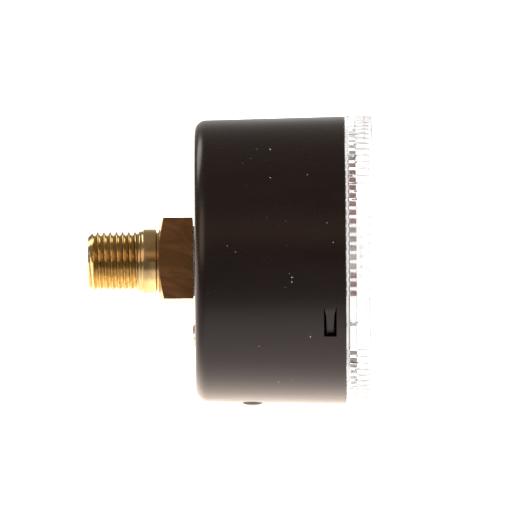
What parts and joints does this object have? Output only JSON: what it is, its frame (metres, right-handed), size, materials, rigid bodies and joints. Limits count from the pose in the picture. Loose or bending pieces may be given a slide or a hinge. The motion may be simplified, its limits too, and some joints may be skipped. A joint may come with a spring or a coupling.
{
  "type": "pressure gauge",
  "caption": "Round back-entry pressure gauge: black steel case, ribbed clear window, white dial with a pointer, working tube movement, brass threaded socket with a wrench square.",
  "frame": {"origin": "on the gauge's axis where the socket's thread ends at the collar", "axes": "+X along the axis out of the dial towards the reader, +Z towards twelve o'clock of the dial, +Y to the reader's right"},
  "size_m": [0.0613, 0.0624, 0.0624],
  "materials": {
    "case_paint": "satin black enamel",
    "brass_turned": "turned, slightly tarnished",
    "brass_movement": "brushed",
    "clear_plastic": "clear moulded polycarbonate",
    "seal_rubber": "smooth",
    "dial_white": "printed satin white",
    "screw_steel": "zinc plated",
    "pointer_black": "matt black",
    "spring_bronze": "bright strip",
    "arbor_steel": "ground",
    "nylon": "plain",
    "plug_rubber": "moulded"
  },
  "bodies": {
    "case": {"case": "case_paint", "window": "clear_plastic", "window_seal": "seal_rubber", "dial": "dial_white", "dial_posts": "brass_movement", "dial_screws": "screw_steel", "stop_pin": "arbor_steel", "hairspring": "spring_bronze", "hairspring_stud": "brass_movement", "bourdon_tube": "spring_bronze", "movement_back_plate": "brass_movement", "movement_front_plate": "brass_movement", "movement_pillars": "brass_movement", "pillar_screws": "screw_steel", "movement_screws": "screw_steel", "socket": "brass_turned", "socket_washer": "nylon", "restrictor": "brass_movement", "case_screw": "screw_steel", "vent_plug": "plug_rubber"},
    "pointer": {"pointer": "pointer_black", "pointer_hub": "pointer_black", "pinion_arbor": "arbor_steel", "pinion": "brass_movement", "hairspring_collet": "brass_movement"},
    "sector": {"sector_gear": "brass_movement", "sector_arbor": "arbor_steel", "sector_pin": "arbor_steel"},
    "link": {"link": "arbor_steel"},
    "tube_tip": {"tube_tip": "brass_movement", "tip_pin": "arbor_steel"}
  },
  "joints": [
    {"name": "sector_turn", "type": "hinge", "parent": "case", "child": "sector", "pos_m": [0.0335, 0.009, -0.01559], "axis": [1, 0, 0], "range_deg": [0, 24.55]},
    {"name": "pointer_turn", "type": "hinge", "parent": "case", "child": "pointer", "pos_m": [0.04675, 0, 0], "axis": [1, 0, 0], "range_deg": [-270, 0], "deforming": ["hairspring"]},
    {"name": "tip_flex", "type": "hinge", "parent": "case", "child": "tube_tip", "pos_m": [0.0252, -0.00554, 0.00693], "axis": [1, 0, 0], "range_deg": [0, 5.69], "deforming": ["bourdon_tube"]},
    {"name": "link_turn", "type": "hinge", "parent": "sector", "child": "link", "pos_m": [0.03225, 0.01535, -0.01697], "axis": [1, 0, 0], "range_deg": [-27.8, 0]}
  ],
  "couplings": [
    {"joint": "pointer_turn", "follows": "sector_turn", "ratio": -11},
    {"joint": "tip_flex", "follows": "sector_turn", "ratio": 0.23091},
    {"joint": "link_turn", "follows": "sector_turn", "ratio": -1.1307}
  ]
}
